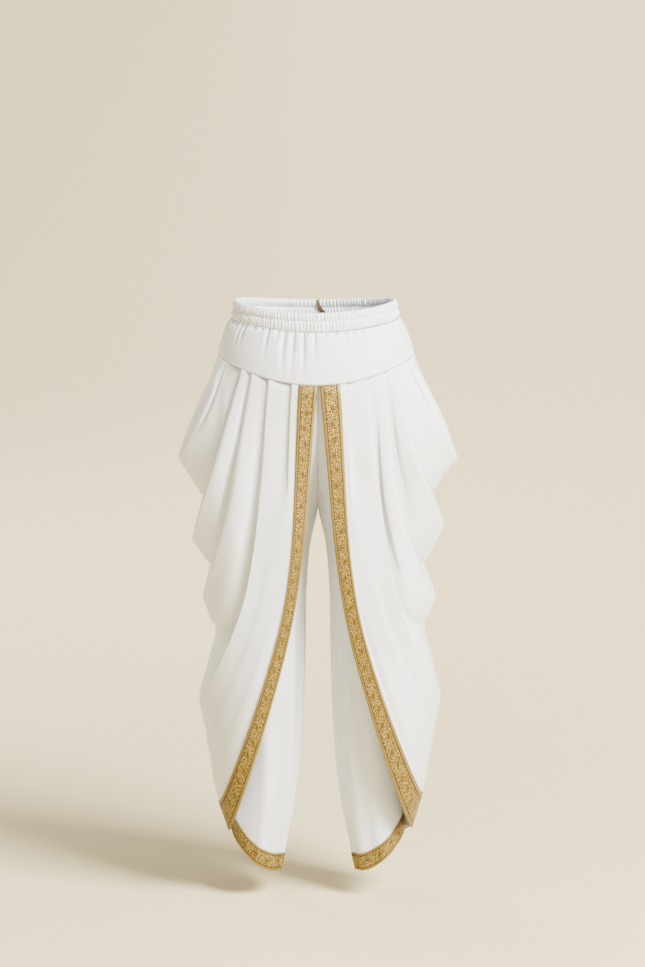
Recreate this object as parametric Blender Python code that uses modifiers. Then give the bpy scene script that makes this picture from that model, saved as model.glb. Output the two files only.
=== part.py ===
"""Draped dhoti-style pants, filled out as if worn, in metres with +Z up.

The origin is the centre of the gathered waist. The front faces -Y and the
picture's right is +X. Each cloth piece is a sheet of points, placed by a
function of its column and row, and given its wall by Solidify.
"""
import math
from collections import namedtuple

import bmesh
import bpy
from mathutils import Vector

# Cloth and seams
CLOTH_WALL = 0.0012
BORDER_WALL = 0.0010
SEAM_GAP = 0.0003
SEAM_STEP = SEAM_GAP + 0.0005
LIFT_OF_BORDER = CLOTH_WALL / 2 + SEAM_GAP + BORDER_WALL / 2 + 0.0002

# Waist and yoke, from the rim down to the seam of the draped panels
Level = namedtuple("Level", "side_z dip half_width half_depth lean")
RIM = Level(0.0210, 0.0120, 0.1350, 0.0950, -0.0048)
CREASE = Level(0.0050, 0.0105, 0.1378, 0.0975, -0.0045)
BAND_FOOT = Level(-0.0100, 0.0130, 0.1400, 0.0990, -0.0043)
YOKE_LEVELS = (
    BAND_FOOT,
    Level(-0.0180, 0.0145, 0.1468, 0.1035, -0.0042),
    Level(-0.0310, 0.0190, 0.1530, 0.1080, -0.0040),
    Level(-0.0500, 0.0270, 0.1595, 0.1140, -0.0035),
    Level(-0.0710, 0.0378, 0.1645, 0.1180, -0.0030),
)
YOKE_SEAM = YOKE_LEVELS[-1]
RIBS = 56
RIB_HEIGHT = 0.0011
BAND_SECTION = ((-0.0016, 0.05), (0.0004, 0.0), (0.0020, 0.5), (0.0004, 1.0), (-0.0016, 0.95))
YOKE_GATHERS = 12
GATHER_DEPTH = 0.0022
POINTS_A_GATHER = 3

# Trouser leg: a row for each height, sizes outward from the centre line
LegRow = namedtuple("LegRow", "z drop slant inner outer depth lean clear")
LEG_ROWS = (
    LegRow(-0.0722, 0.0378, 0.0000, 0.0003, 0.1560, 0.1103, -0.0030, 0.0017),
    LegRow(-0.1350, 0.0300, 0.0000, 0.0003, 0.1540, 0.1075, -0.0025, 0.0035),
    LegRow(-0.2000, 0.0120, 0.0000, 0.0004, 0.1490, 0.1045, -0.0015, 0.0050),
    LegRow(-0.2650, 0.0030, 0.0000, 0.0007, 0.1460, 0.1025, -0.0005, 0.0050),
    LegRow(-0.3360, 0.0000, 0.0000, 0.0010, 0.1430, 0.1000, 0.0000, 0.0050),
    LegRow(-0.3900, 0.0000, 0.0000, 0.0125, 0.1410, 0.0960, 0.0000, 0.0050),
    LegRow(-0.4700, 0.0000, 0.0000, 0.0195, 0.1390, 0.0900, 0.0000, 0.0050),
    LegRow(-0.5700, 0.0000, 0.0000, 0.0215, 0.1370, 0.0820, 0.0000, 0.0050),
    LegRow(-0.6800, 0.0000, 0.0000, 0.0250, 0.1360, 0.0730, 0.0000, 0.0050),
    LegRow(-0.7900, 0.0000, 0.0080, 0.0335, 0.1380, 0.0640, 0.0000, 0.0050),
    LegRow(-0.8950, 0.0130, 0.0320, 0.0575, 0.1440, 0.0570, 0.0000, 0.0050),
    LegRow(-0.9250, 0.0130, 0.0320, 0.0650, 0.1460, 0.0560, 0.0000, 0.0050),
)
CROTCH_ROW = 4
LEG_COLUMNS = 22
RISE_CURVE = 2.5
HEM_ROWS = (10, 11)

# Draped panel: a row for each fold line, x outward from the centre line
Fold = namedtuple("Fold", "seam_x knee_x knee_y knee_z tip_x tip_z valley_at valley_depth")
Cell = namedtuple("Cell", "start out across fold")
FOLDS = {
    "left": (
        Fold(0.153, 0.189, 0.052, -0.170, 0.236, -0.248, 0.55, 0.036),
        Fold(0.128, 0.174, 0.088, -0.244, 0.213, -0.387, 0.55, 0.028),
        Fold(0.111, 0.154, 0.102, -0.326, 0.195, -0.486, 0.30, 0.022),
        Fold(0.082, 0.119, 0.116, -0.454, 0.202, -0.665, 0.50, 0.000),
        Fold(0.043, 0.071, 0.124, -0.470, 0.189, -0.745, 0.50, 0.000),
        Fold(0.030, 0.058, 0.122, -0.492, 0.168, -0.842, 0.50, 0.000),
        Fold(0.002, 0.044, 0.118, -0.512, 0.152, -0.890, 0.50, 0.000),
    ),
    "right": (
        Fold(0.148, 0.190, 0.052, -0.162, 0.235, -0.249, 0.55, 0.034),
        Fold(0.130, 0.169, 0.088, -0.239, 0.213, -0.364, 0.60, 0.030),
        Fold(0.110, 0.142, 0.102, -0.330, 0.199, -0.485, 0.26, 0.020),
        Fold(0.081, 0.127, 0.116, -0.444, 0.209, -0.661, 0.50, 0.000),
        Fold(0.046, 0.079, 0.124, -0.470, 0.196, -0.733, 0.50, 0.000),
        Fold(0.035, 0.068, 0.122, -0.492, 0.177, -0.827, 0.50, 0.000),
        Fold(0.004, 0.049, 0.118, -0.512, 0.160, -0.886, 0.50, 0.000),
    ),
}
PLEATS = 5
PLEATED_BEHIND = 4
BORDER_EDGE = 5
OPENING_EDGE = 6
SIDES = {"left": -1, "right": 1}

# Where the lower lines of the panel lie behind: knee and end at the back seam
BackLine = namedtuple("BackLine", "knee_x knee_y knee_z end_z")
BACK_OF_LAST_PLEAT = BackLine(0.075, 0.118, -0.455, -0.074)
BACK_OF_BORDER = BackLine(0.108, 0.068, -0.908, -0.892)
BACK_OF_OPENING = BackLine(0.104, 0.063, -0.941, -0.925)
FANNED_LINES = ((0.14, -0.19), (0.28, -0.26), (0.42, -0.33), (0.56, -0.45), (0.72, -0.62), (0.88, -0.78))
BACK_SEAM_ANGLE = math.radians(138)
CENTRE_BACK_GAP = 0.0040

# How the pleats are stacked at the yoke and how they open below it
STACK_AT_SEAM = 0.0026
STACK_AT_KNEE = 0.0070
UNDERLAP_AT_SEAM = 0.0080
UNDERLAP_AT_KNEE = 0.0110
LAST_UNDERLAP = 0.0010
OPENS_FROM = 0.10
OPEN_AT = 0.46
LAST_PLEAT_OPENS_FROM = 0.03
LAST_PLEAT_OPEN_AT = 0.20
SIDE_PLEAT = 0.014
VALLEY_IN_FRONT = 0.80
SEAM_RADIUS = 0.22
ROWS_TO_KNEE = 5
ROWS_TO_TIP = 8

# Woven tab inside the back of the waist
TAB_LENGTH = 0.022
TAB_WIDTH = (0.0030, 0.0095)
TAB_WALL = 0.0014
TAB_DRIFT = 0.0085

# Colours as red, green and blue, then roughness and metallic
WHITE_CLOTH = ((0.86, 0.85, 0.85), 0.55, 0.0)
GOLD_BORDER = ((0.62, 0.43, 0.13), 0.40, 0.6)
BROWN_TAB = ((0.30, 0.18, 0.06), 0.60, 0.1)


def smooth(value):
    """Ease from 0 to 1 as value goes from 0 to 1."""
    value = min(max(value, 0.0), 1.0)
    return value * value * (3 - 2 * value)


def mix(first, second, share):
    """Blend two numbers or two points."""
    return first * (1 - share) + second * share


def curve_between(start, end, start_way, end_way, share):
    """Point on a smooth curve that leaves and arrives along the given ways."""
    reach = (end - start).length
    cube = share ** 3
    square = share ** 2
    point = start * (2 * cube - 3 * square + 1)
    point += start_way * reach * (cube - 2 * square + share)
    point += end * (3 * square - 2 * cube)
    point += end_way * reach * (cube - square)
    return point


def level_point(level, angle, out=0.0):
    """Point round the waist or yoke; the angle is 0 at +X and negative in front."""
    x = (level.half_width + out) * math.cos(angle) + level.lean
    y = (level.half_depth + out) * math.sin(angle)
    return Vector((x, y, level.side_z - level.dip * math.sin(angle) ** 2))


def between_levels(first, second, share):
    """Level at a share of the way from one to the other."""
    return Level(*(mix(one, other, share) for one, other in zip(first, second)))


# Materials and objects

def make_material(name, finish):
    """Principled material of one colour."""
    colour, roughness, metallic = finish
    material = bpy.data.materials.new(name)
    material.use_nodes = True
    shader = material.node_tree.nodes["Principled BSDF"]
    shader.inputs["Base Color"].default_value = (*colour, 1.0)
    shader.inputs["Roughness"].default_value = roughness
    shader.inputs["Metallic"].default_value = metallic
    return material


def grid_of_points(name, columns, rows, place):
    """Mesh of a grid whose points are placed by their column and row."""
    grid = bmesh.new()
    bmesh.ops.create_grid(grid, x_segments=columns, y_segments=rows, size=0.5)
    for point in grid.verts:
        column = round((point.co.x + 0.5) * columns)
        row = round((point.co.y + 0.5) * rows)
        point.co = place(column, row)
    mesh = bpy.data.meshes.new(name)
    grid.to_mesh(mesh)
    grid.free()
    return mesh


def add_piece(name, mesh, finish, garment):
    """Object of its own material, carried by the garment's empty."""
    piece = bpy.data.objects.new(name, mesh)
    piece.data.materials.append(make_material(name, finish))
    piece.data.shade_smooth()
    piece.parent = garment
    garment.users_collection[0].objects.link(piece)
    return piece


def cloth_piece(name, columns, rows, place, wall, finish, garment):
    """Open sheet of cloth with its wall half to each side of its points."""
    piece = add_piece(name, grid_of_points(name, columns, rows, place), finish, garment)
    solidify = piece.modifiers.new("wall", "SOLIDIFY")
    solidify.thickness = wall
    solidify.offset = 0.0
    return piece


# Waist

def add_band(name, top, foot, garment):
    """Elastic channel: a closed ring, ribbed outside and plain inside."""
    columns = 2 * RIBS
    points = len(BAND_SECTION)

    def place(column, row):
        angle = math.tau * (column % columns) / columns
        out, share = BAND_SECTION[row % points]
        if out > 0:
            out += RIB_HEIGHT * (column % 2)
        return level_point(between_levels(foot, top, share), angle, out)

    piece = add_piece(name, grid_of_points(name, columns, points, place), WHITE_CLOTH, garment)
    ring = bmesh.new()
    ring.from_mesh(piece.data)
    bmesh.ops.remove_doubles(ring, verts=ring.verts, dist=0.00001)
    bmesh.ops.recalc_face_normals(ring, faces=ring.faces)
    ring.to_mesh(piece.data)
    ring.free()


def add_yoke(name, first_angle, last_angle, garment):
    """Half of the yoke, with gathers that fall from the elastic and fade."""
    columns = YOKE_GATHERS * POINTS_A_GATHER
    rows = len(YOKE_LEVELS) - 1

    def place(column, row):
        level = YOKE_LEVELS[rows - row]
        if row == rows:
            level = level._replace(side_z=level.side_z - SEAM_STEP)
        angle = mix(first_angle, last_angle, column / columns)
        phase = math.tau * (column % POINTS_A_GATHER) / POINTS_A_GATHER
        gather = column // POINTS_A_GATHER
        uneven = 0.7 + 0.3 * math.sin(2.3 * gather)
        fade = smooth(row / rows)
        return level_point(level, angle, GATHER_DEPTH * uneven * fade * math.cos(phase))

    cloth_piece(name, columns, rows, place, CLOTH_WALL, WHITE_CLOTH, garment)


# Trouser legs

def leg_row_at(z):
    """Leg sizes at a height, between the rows of the table."""
    for upper, lower in zip(LEG_ROWS, LEG_ROWS[1:]):
        if z >= lower.z:
            break
    share = min(max((upper.z - z) / (upper.z - lower.z), 0.0), 1.0)
    return LegRow(*(mix(one, other, share) for one, other in zip(upper, lower)))


def rise_angle(z):
    """Angle where the leg's edge lies: a quarter turn at the yoke, a half below the crotch."""
    top = LEG_ROWS[0].z
    share = (top - z) / (top - LEG_ROWS[CROTCH_ROW].z)
    return math.radians(90 + 90 * min(max(share, 0.0), 1.0) ** RISE_CURVE)


def leg_oval(side, row):
    """Centre and half width of the oval that a leg's section is part of."""
    outer = row.outer + SIDES[side] * row.lean
    half_width = (outer - row.inner) / (1 - math.cos(rise_angle(row.z)))
    return outer - half_width, half_width


def on_leg(side, row, angle, out=0.0):
    """Point of a leg's section, x outward; the angle is 0 at the outer side."""
    centre, half_width = leg_oval(side, row)
    x = centre + (half_width + out) * math.cos(angle)
    y = (row.depth + out) * math.sin(angle)
    z = row.z - row.drop * math.sin(angle) ** 2 + row.slant * math.cos(angle)
    return Vector((x, y, z))


def leg_point(side, row, share, out=0.0):
    """Point round the leg, from its front edge at share -1 to its back edge at 1."""
    point = on_leg(side, row, share * rise_angle(row.z), out)
    point.x *= SIDES[side]
    return point


def leg_share(column):
    """Share round the leg at a column, short of a full turn by the inseam's gap."""
    share = 2 * column / LEG_COLUMNS - 1
    return share * (1 - SEAM_STEP)


def add_leg(side, garment):
    """Tapered trouser leg with the slit of its inseam and rise seam."""
    rows = len(LEG_ROWS) - 1

    def place(column, row):
        return leg_point(side, LEG_ROWS[rows - row], leg_share(column))

    cloth_piece(f"leg_{side}", LEG_COLUMNS, rows, place, CLOTH_WALL, WHITE_CLOTH, garment)


def add_hem_border(side, garment):
    """Gold border round the leg's hem."""
    top = LEG_ROWS[HEM_ROWS[0]]
    foot = LEG_ROWS[HEM_ROWS[1]]

    def place(column, row):
        return leg_point(side, top if row else foot, leg_share(column), LIFT_OF_BORDER)

    name = f"border_hem_{side}"
    cloth_piece(name, LEG_COLUMNS, 1, place, BORDER_WALL, GOLD_BORDER, garment)


# Draped panels

def seam_turn(side, angle):
    """Point of the yoke seam, x outward; the angle is 0 at the side and negative in front."""
    level = YOKE_SEAM
    x = SIDES[side] * level.lean + level.half_width * math.cos(angle)
    z = level.side_z - level.dip * math.sin(angle) ** 2 - SEAM_STEP
    return Vector((x, level.half_depth * math.sin(angle), z))


def seam_angle(side, x):
    """Angle in front of the yoke seam at a distance outward from the centre line."""
    return -math.acos((x - SIDES[side] * YOKE_SEAM.lean) / YOKE_SEAM.half_width)


def behind(point):
    """The same place at the back."""
    return Vector((point.x, -point.y, point.z))


def clear_of_leg(side, point):
    """Push a point out of the trouser leg where it would come too near."""
    height = point.z
    for _ in range(3):
        row = leg_row_at(height)
        centre, half_width = leg_oval(side, row)
        across = (point.x - centre) / (half_width + row.clear)
        along = point.y / (row.depth + row.clear)
        spread = math.hypot(across, along)
        height = point.z + row.drop * (along / spread) ** 2 - row.slant * across / spread
    if spread >= 1:
        return point
    return Vector((centre + (point.x - centre) / spread, point.y / spread, point.z))


def back_end(side, z):
    """Where a lower line of the panel meets the seam at the back of the leg."""
    row = leg_row_at(z)
    angle = min(rise_angle(z) - math.radians(3), BACK_SEAM_ANGLE)
    return on_leg(side, row, angle, row.clear)


def line_stations(side, fold, back):
    """Seam, knee, tip, back knee and back end of one fold line."""
    seam = seam_turn(side, seam_angle(side, fold.seam_x))
    knee = Vector((fold.knee_x, -fold.knee_y, fold.knee_z))
    tip = Vector((fold.tip_x, 0.0, fold.tip_z))
    if back is None:
        return [seam, knee, tip, behind(knee), behind(seam)]
    back_knee = Vector((back.knee_x, back.knee_y, back.knee_z))
    return [seam, knee, tip, back_knee, back_end(side, back.end_z)]


def panel_lines(side):
    """Stations of every line of a panel, from its first pleat to its opening edge."""
    folds = FOLDS[side]
    lines = [line_stations(side, fold, None) for fold in folds[:PLEATED_BEHIND]]
    last_pleat = line_stations(side, folds[PLEATED_BEHIND], BACK_OF_LAST_PLEAT)
    last_pleat[-1] = behind(seam_turn(side, seam_angle(side, CENTRE_BACK_GAP)))
    border = line_stations(side, folds[BORDER_EDGE], BACK_OF_BORDER)
    opening = line_stations(side, folds[OPENING_EDGE], BACK_OF_OPENING)
    lines.append(last_pleat)
    for share, end_z in FANNED_LINES:
        line = [mix(one, other, share) for one, other in zip(last_pleat, border)]
        line[-1] = back_end(side, end_z)
        lines.append(line)
    middle = [mix(one, other, 0.5) for one, other in zip(border, opening)]
    lines += [border, middle, opening]
    return lines


def knee_way(start, end):
    """Direction of a line as it passes its knee."""
    way = end - start
    way.y *= 0.3
    return way.normalized()


def on_line(stations, reach):
    """Point of a fold line; reach is 0 at the seam, 2 at the tip and 4 at the back end."""
    seam, knee, tip, back_knee, end = stations
    round_side = Vector((0.0, 1.0, 0.0))
    ways = (
        (knee - seam).normalized(),
        knee_way(seam, tip),
        round_side,
        knee_way(tip, end),
        (end - back_knee).normalized(),
    )
    part = min(int(reach), 3)
    share = reach - part
    return curve_between(stations[part], stations[part + 1], ways[part], ways[part + 1], share)


def row_reaches():
    """Reaches of the panel's rows, closest together where the lines turn round the side."""
    reaches = [row / ROWS_TO_KNEE for row in range(ROWS_TO_KNEE)]
    for row in range(ROWS_TO_TIP):
        reaches.append(1 + math.sin(math.pi / 2 * row / ROWS_TO_TIP))
    return reaches + [2.0] + [4 - reach for reach in reversed(reaches)]


def way_along(stations, reach):
    """Direction in which a line runs at a reach."""
    step = 0.02
    before = on_line(stations, max(reach - step, 0.0))
    after = on_line(stations, min(reach + step, 4.0))
    return (after - before).normalized()


def yoke_side_point(side, first_fold, reach):
    """Top edge of the panel, along the yoke seam from the first pleat round the side."""
    start = seam_angle(side, first_fold.seam_x) + SIDE_PLEAT / YOKE_SEAM.half_depth
    return seam_turn(side, mix(start, -start, smooth(reach / 4)))


def cell_points(cell, following, lap, from_seam, openness):
    """Seven points from one fold line to the next: face, hidden fold and return."""
    next_start, next_out, next_across = following.start, following.out, following.across
    start, out, across, fold = cell
    over = next_start - start
    width = over.length
    over.normalize()
    stack = mix(STACK_AT_SEAM, STACK_AT_KNEE, smooth(from_seam))
    closed = (
        start - out * stack / 2,
        start + across * stack / 2,
        start + across * (lap + stack),
        next_start - next_across * stack / 2 - next_out * 2 * stack,
        next_start + next_across * lap - next_out * 2 * stack,
        next_start + next_across * (lap + stack / 2) - next_out * 1.5 * stack,
        next_start + next_across * lap - next_out * stack,
    )
    fall = fold.valley_at
    climb = 1 - fall
    places = (0, 0.15 * fall, 0.5 * fall, 0.82 * fall, fall, fall + 0.3 * climb, fall + 0.68 * climb)
    depths = (0, 0.03, 0.40, 0.82, 1.0, 0.80, 0.28)
    points = []
    for tucked, place, depth in zip(closed, places, depths):
        bow = (1 - smooth(from_seam)) * width ** 2 * place * (1 - place) / (2 * SEAM_RADIUS)
        loose = start + over * width * place - out * (fold.valley_depth * depth - bow)
        points.append(mix(tucked, loose, openness))
    return points


def pleat_openness(number, reach):
    """How far a pleat has opened: 0 where it is stacked, 1 where it hangs as a cowl."""
    from_seam = min(reach, 4 - reach) / 4
    if number == 0:
        return 1.0
    if number < PLEATED_BEHIND:
        return smooth((from_seam - OPENS_FROM) / (OPEN_AT - OPENS_FROM))
    if reach > 2:
        return 1.0
    return smooth((from_seam - LAST_PLEAT_OPENS_FROM) / (LAST_PLEAT_OPEN_AT - LAST_PLEAT_OPENS_FROM))


def level_with_seam(side, point):
    """Set a point of the panel's top edge at the yoke seam's height."""
    level = YOKE_SEAM
    across = (point.x - SIDES[side] * level.lean) / level.half_width
    along = point.y / level.half_depth
    sine = along / math.hypot(across, along)
    z = level.side_z - level.dip * sine ** 2 - SEAM_STEP
    return Vector((point.x, point.y, min(z, point.z)))


def panel_row(side, reach):
    """Points of one row of a panel, from the yoke's side to the opening edge."""
    folds = FOLDS[side]
    lines = panel_lines(side)
    starts = [yoke_side_point(side, folds[0], reach)]
    starts += [on_line(line, reach) for line in lines]
    ways = [way_along(lines[0], reach)]
    ways += [way_along(line, reach) for line in lines]
    side_fold = folds[0]._replace(valley_at=0.5, valley_depth=-0.002)
    rules = [side_fold, *folds]
    turned = smooth(min(reach, 4 - reach) - 1)
    for number in range(1, PLEATED_BEHIND):
        valley_at = mix(VALLEY_IN_FRONT, rules[number].valley_at, turned)
        rules[number] = rules[number]._replace(valley_at=valley_at)
    cells = []
    for number in range(PLEATS + 1):
        over = starts[number + 1] - starts[number]
        if number == PLEATS:
            over = starts[-1] - starts[number]
        way = ways[number] + ways[number + 1]
        out = over.cross(way).normalized()
        cells.append(Cell(starts[number], out, way.cross(out).normalized(), rules[number]))
    from_seam = min(reach, 4 - reach)
    points = []
    for number in range(PLEATS):
        openness = pleat_openness(number, reach)
        lap = mix(UNDERLAP_AT_SEAM, UNDERLAP_AT_KNEE, smooth(from_seam))
        if number == PLEATS - 1:
            lap = LAST_UNDERLAP
        points += cell_points(cells[number], cells[number + 1], lap, from_seam, openness)
    points[0] = starts[0]
    last = cells[PLEATS]
    points.append(last.start - last.out * (1 - openness) * STACK_AT_SEAM / 2)
    points.append(last.start + last.across * STACK_AT_SEAM / 4)
    if reach in (0, 4):
        points = [level_with_seam(side, point) for point in points]
    points += starts[PLEATS + 1:]
    placed = []
    for point in points:
        point = clear_of_leg(side, point)
        placed.append(Vector((SIDES[side] * point.x, point.y, point.z)))
    return placed


def panel_grid(side):
    """All rows of a panel's points."""
    return [panel_row(side, reach) for reach in row_reaches()]


def grid_out(grid, row, column, side):
    """Outward direction of a panel at one of its points."""
    last_row = len(grid) - 1
    last_column = len(grid[0]) - 1
    along = grid[min(row + 1, last_row)][column] - grid[max(row - 1, 0)][column]
    across = grid[row][min(column + 1, last_column)] - grid[row][max(column - 1, 0)]
    return across.cross(along).normalized() * SIDES[side]


def add_panel(side, grid, garment):
    """Draped panel with its pleats and cowls."""

    def place(column, row):
        return grid[row][column]

    columns = len(grid[0]) - 1
    cloth_piece(f"drape_{side}", columns, len(grid) - 1, place, CLOTH_WALL, WHITE_CLOTH, garment)


def add_front_border(side, grid, garment):
    """Gold border along the panel's opening edge, the ankle and the back hem."""
    first_column = len(grid[0]) - 3

    def place(column, row):
        at = first_column + column
        return grid[row][at] + grid_out(grid, row, at, side) * LIFT_OF_BORDER

    name = f"border_front_{side}"
    cloth_piece(name, 2, len(grid) - 1, place, BORDER_WALL, GOLD_BORDER, garment)


# Tab

def add_tab(garment):
    """Woven tab that hangs inside the back of the waist."""
    steps = 5
    inside = RIM.half_depth + BAND_SECTION[0][0] - SEAM_GAP - TAB_WALL / 2 - 0.0004
    top = RIM.side_z - RIM.dip

    def place(column, row):
        down = 1 - row / steps
        x = TAB_DRIFT * down ** 2 + (column - 1) * mix(*TAB_WIDTH, down) / 2
        bow = 0.002 * math.sin(math.pi * down)
        return Vector((x, inside - bow, top - TAB_LENGTH * down))

    cloth_piece("back_tab", 2, steps, place, TAB_WALL, BROWN_TAB, garment)


def build():
    """Clear the scene and make every piece of the garment."""
    for old in list(bpy.data.objects):
        bpy.data.objects.remove(old)
    collection = bpy.data.collections.new("dhoti_pants")
    bpy.context.scene.collection.children.link(collection)
    garment = bpy.data.objects.new("garment", None)
    collection.objects.link(garment)
    side_gap = SEAM_GAP / YOKE_SEAM.half_depth
    lower_top = CREASE._replace(side_z=CREASE.side_z - SEAM_STEP)
    add_band("waistband_upper", RIM, CREASE, garment)
    add_band("waistband_lower", lower_top, BAND_FOOT, garment)
    add_yoke("yoke_front", -math.pi + side_gap, -side_gap, garment)
    add_yoke("yoke_back", side_gap, math.pi - side_gap, garment)
    for side in SIDES:
        grid = panel_grid(side)
        add_leg(side, garment)
        add_hem_border(side, garment)
        add_panel(side, grid, garment)
        add_front_border(side, grid, garment)
    add_tab(garment)


build()
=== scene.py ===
# %% [markdown]
# # Draped pants in white crepe with a gold border
#
# The garment is rebuilt here in its fine form. The solids of the packed
# model give the size, the place and the main folds. Each of them is replaced
# by a finer sheet that follows the same formulas, with the small folds, the
# ribs of the elastic, the weave and the stitches that cloth shows up close.
#
# Loading the frame comes first, and its box is kept, so that the finished
# cloth can be compared with the solids at the end.

# %% Load the frame
import math
import random
from collections import namedtuple

import bmesh
import bpy
import numpy as np
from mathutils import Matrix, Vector


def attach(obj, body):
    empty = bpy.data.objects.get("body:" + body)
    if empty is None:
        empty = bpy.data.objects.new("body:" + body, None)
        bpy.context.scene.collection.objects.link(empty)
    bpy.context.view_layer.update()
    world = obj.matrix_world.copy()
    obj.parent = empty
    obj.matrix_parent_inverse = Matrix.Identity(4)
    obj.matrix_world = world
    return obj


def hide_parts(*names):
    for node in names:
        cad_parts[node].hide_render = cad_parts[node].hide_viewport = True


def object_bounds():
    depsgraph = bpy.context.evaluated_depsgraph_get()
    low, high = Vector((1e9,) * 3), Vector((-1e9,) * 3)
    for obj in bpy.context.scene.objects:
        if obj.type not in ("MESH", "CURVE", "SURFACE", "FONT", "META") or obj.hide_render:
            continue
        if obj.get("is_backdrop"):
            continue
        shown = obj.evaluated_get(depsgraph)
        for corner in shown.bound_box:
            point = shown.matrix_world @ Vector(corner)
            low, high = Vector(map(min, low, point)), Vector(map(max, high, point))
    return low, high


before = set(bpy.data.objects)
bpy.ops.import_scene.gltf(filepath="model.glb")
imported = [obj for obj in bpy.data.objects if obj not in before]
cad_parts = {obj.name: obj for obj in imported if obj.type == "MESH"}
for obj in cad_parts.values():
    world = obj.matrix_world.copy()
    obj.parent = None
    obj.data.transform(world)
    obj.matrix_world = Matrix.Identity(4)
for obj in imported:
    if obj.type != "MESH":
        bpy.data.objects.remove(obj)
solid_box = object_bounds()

print("solids:", ", ".join(sorted(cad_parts)))

# %% [markdown]
# ## The camera
#
# A product shot of clothes is taken with a long lens from a few metres away,
# which keeps the waist and the hem at one scale. Eight metres and a lens of
# about 176 mm give that flat perspective, and a tilt of 9.3 degrees looks
# slightly down into the open waist. The camera is aimed at a point inside
# the garment, so no lens shift is needed.

# %% Camera
PICTURE = (645, 967)
CAMERA_DISTANCE = 8.0
CAMERA_TILT = math.radians(9.3)
AIM = Vector((0.0076, 0.0, -0.293))
METRES_A_PIXEL = 0.00169


def put(name, data):
    """Object made from its data and put into the scene."""
    thing = bpy.data.objects.new(name, data)
    bpy.context.scene.collection.objects.link(thing)
    return thing


backward = Vector((0.0, -math.cos(CAMERA_TILT), math.sin(CAMERA_TILT)))
lens = bpy.data.cameras.new("product_camera")
lens.sensor_fit = "VERTICAL"
lens.sensor_height = 36.0
lens.lens = lens.sensor_height * CAMERA_DISTANCE / METRES_A_PIXEL / PICTURE[1]
lens.clip_end = 60.0
camera = put("product_camera", lens)
camera.location = AIM + backward * CAMERA_DISTANCE
camera.rotation_euler = backward.to_track_quat("Z", "Y").to_euler()
bpy.context.scene.camera = camera
print(f"camera: {lens.lens:.1f} mm lens, {CAMERA_DISTANCE} m away")

# %% [markdown]
# ## Floor
#
# The studio has one pale paper floor and no wall, so that nothing stands in
# the way when the garment is looked at from behind. A disc is enough, if it is
# so wide that its rim lies at the horizon. The photograph's light reaches far
# back. Lamps that did the same would flatten the folds, so the paper is given
# painted light: it glows faintly, more the further it lies from the garment.

# %% Paper floor
FLOOR_Z = -1.0
FLOOR_RADIUS = 60.0


def paper_floor():
    """Wide round sheet of paper under the garment."""
    paper = bmesh.new()
    bmesh.ops.create_circle(paper, cap_ends=True, segments=96, radius=FLOOR_RADIUS)
    bmesh.ops.translate(paper, verts=paper.verts, vec=(0.0, 0.0, FLOOR_Z))
    bmesh.ops.recalc_face_normals(paper, faces=paper.faces)
    mesh = bpy.data.meshes.new("paper_floor")
    paper.to_mesh(mesh)
    paper.free()
    floor = put("paper_floor", mesh)
    floor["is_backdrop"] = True
    return floor


floor = paper_floor()
print(f"floor: {2 * FLOOR_RADIUS:.0f} m wide, at {FLOOR_Z} m")

# %% [markdown]
# ## Light
#
# A soft box high on the front right is the key light. It leaves the garment's
# left side slightly darker, so that the folds there read. A weak lamp far in
# front keeps the deep folds from going grey, and one from behind lights the
# back.

# %% Studio light
HORIZON = (1.0, 0.83, 0.46)
DOME_GREY = (0.125, 0.120, 0.113)
HORIZON_STRENGTH = 2.2


def soft_box(name, place, size, power, colour):
    """Square area lamp that faces the garment."""
    light = bpy.data.lights.new(name, "AREA")
    light.shape = "SQUARE"
    light.size = size
    light.energy = power
    light.color = colour
    lamp = put(name, light)
    lamp.visible_camera = False
    lamp.location = place
    lamp.rotation_euler = (Vector(place) - AIM).to_track_quat("Z", "Y").to_euler()


soft_box("key_light", (2.4, -2.3, 2.35), 1.8, 1050.0, (0.98, 1.0, 0.99))
soft_box("fill_light", (-0.9, -5.0, 0.6), 2.4, 44.0, (0.98, 0.99, 1.0))
soft_box("back_light", (-2.4, 3.2, 2.0), 2.0, 190.0, (1.0, 0.98, 0.96))
print("lamps: key on the right, a weak fill in front and a weak one behind")

# %% [markdown]
# ## A small kit for materials
#
# Every finish here is a chain of nodes that ends in one Principled shader.
# A short helper that adds a node, sets its values and joins its inputs keeps
# those chains readable. Patterns read the cloth's own UV map, which is laid
# out in metres of cloth, so a thread keeps its size on every piece.

# %% Node helpers
def new_finish(name):
    """Material with its node tree and its shader."""
    material = bpy.data.materials.new(name)
    material.use_nodes = True
    tree = material.node_tree
    return material, tree, tree.nodes["Principled BSDF"]


def set_inputs(node, **inputs):
    """Set or join a node's inputs; i0, i1 and so on are its sockets by number."""
    for name, value in inputs.items():
        key = int(name[1:]) if name[1:].isdigit() else name.replace("_", " ")
        socket = node.inputs[key]
        if isinstance(value, bpy.types.NodeSocket):
            node.id_data.links.new(value, socket)
        else:
            socket.default_value = (*value, 1.0) if socket.type == "RGBA" else value


def add_node(tree, kind, settings=None, **inputs):
    """Node with its settings, and its inputs set or joined."""
    node = tree.nodes.new("ShaderNode" + kind)
    for setting, value in (settings or {}).items():
        setattr(node, setting, value)
    set_inputs(node, **inputs)
    return node


def tree_of(*values):
    """Node tree of the first value that is a socket."""
    return next(value.id_data for value in values if isinstance(value, bpy.types.NodeSocket))


def maths(operation, *values):
    """Result of one Math node."""
    inputs = {f"i{number}": value for number, value in enumerate(values)}
    return add_node(tree_of(*values), "Math", {"operation": operation}, **inputs).outputs[0]


def clamped(value):
    """Value held between nought and one."""
    return maths("MINIMUM", maths("MAXIMUM", value, 0.0), 1.0)


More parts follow.
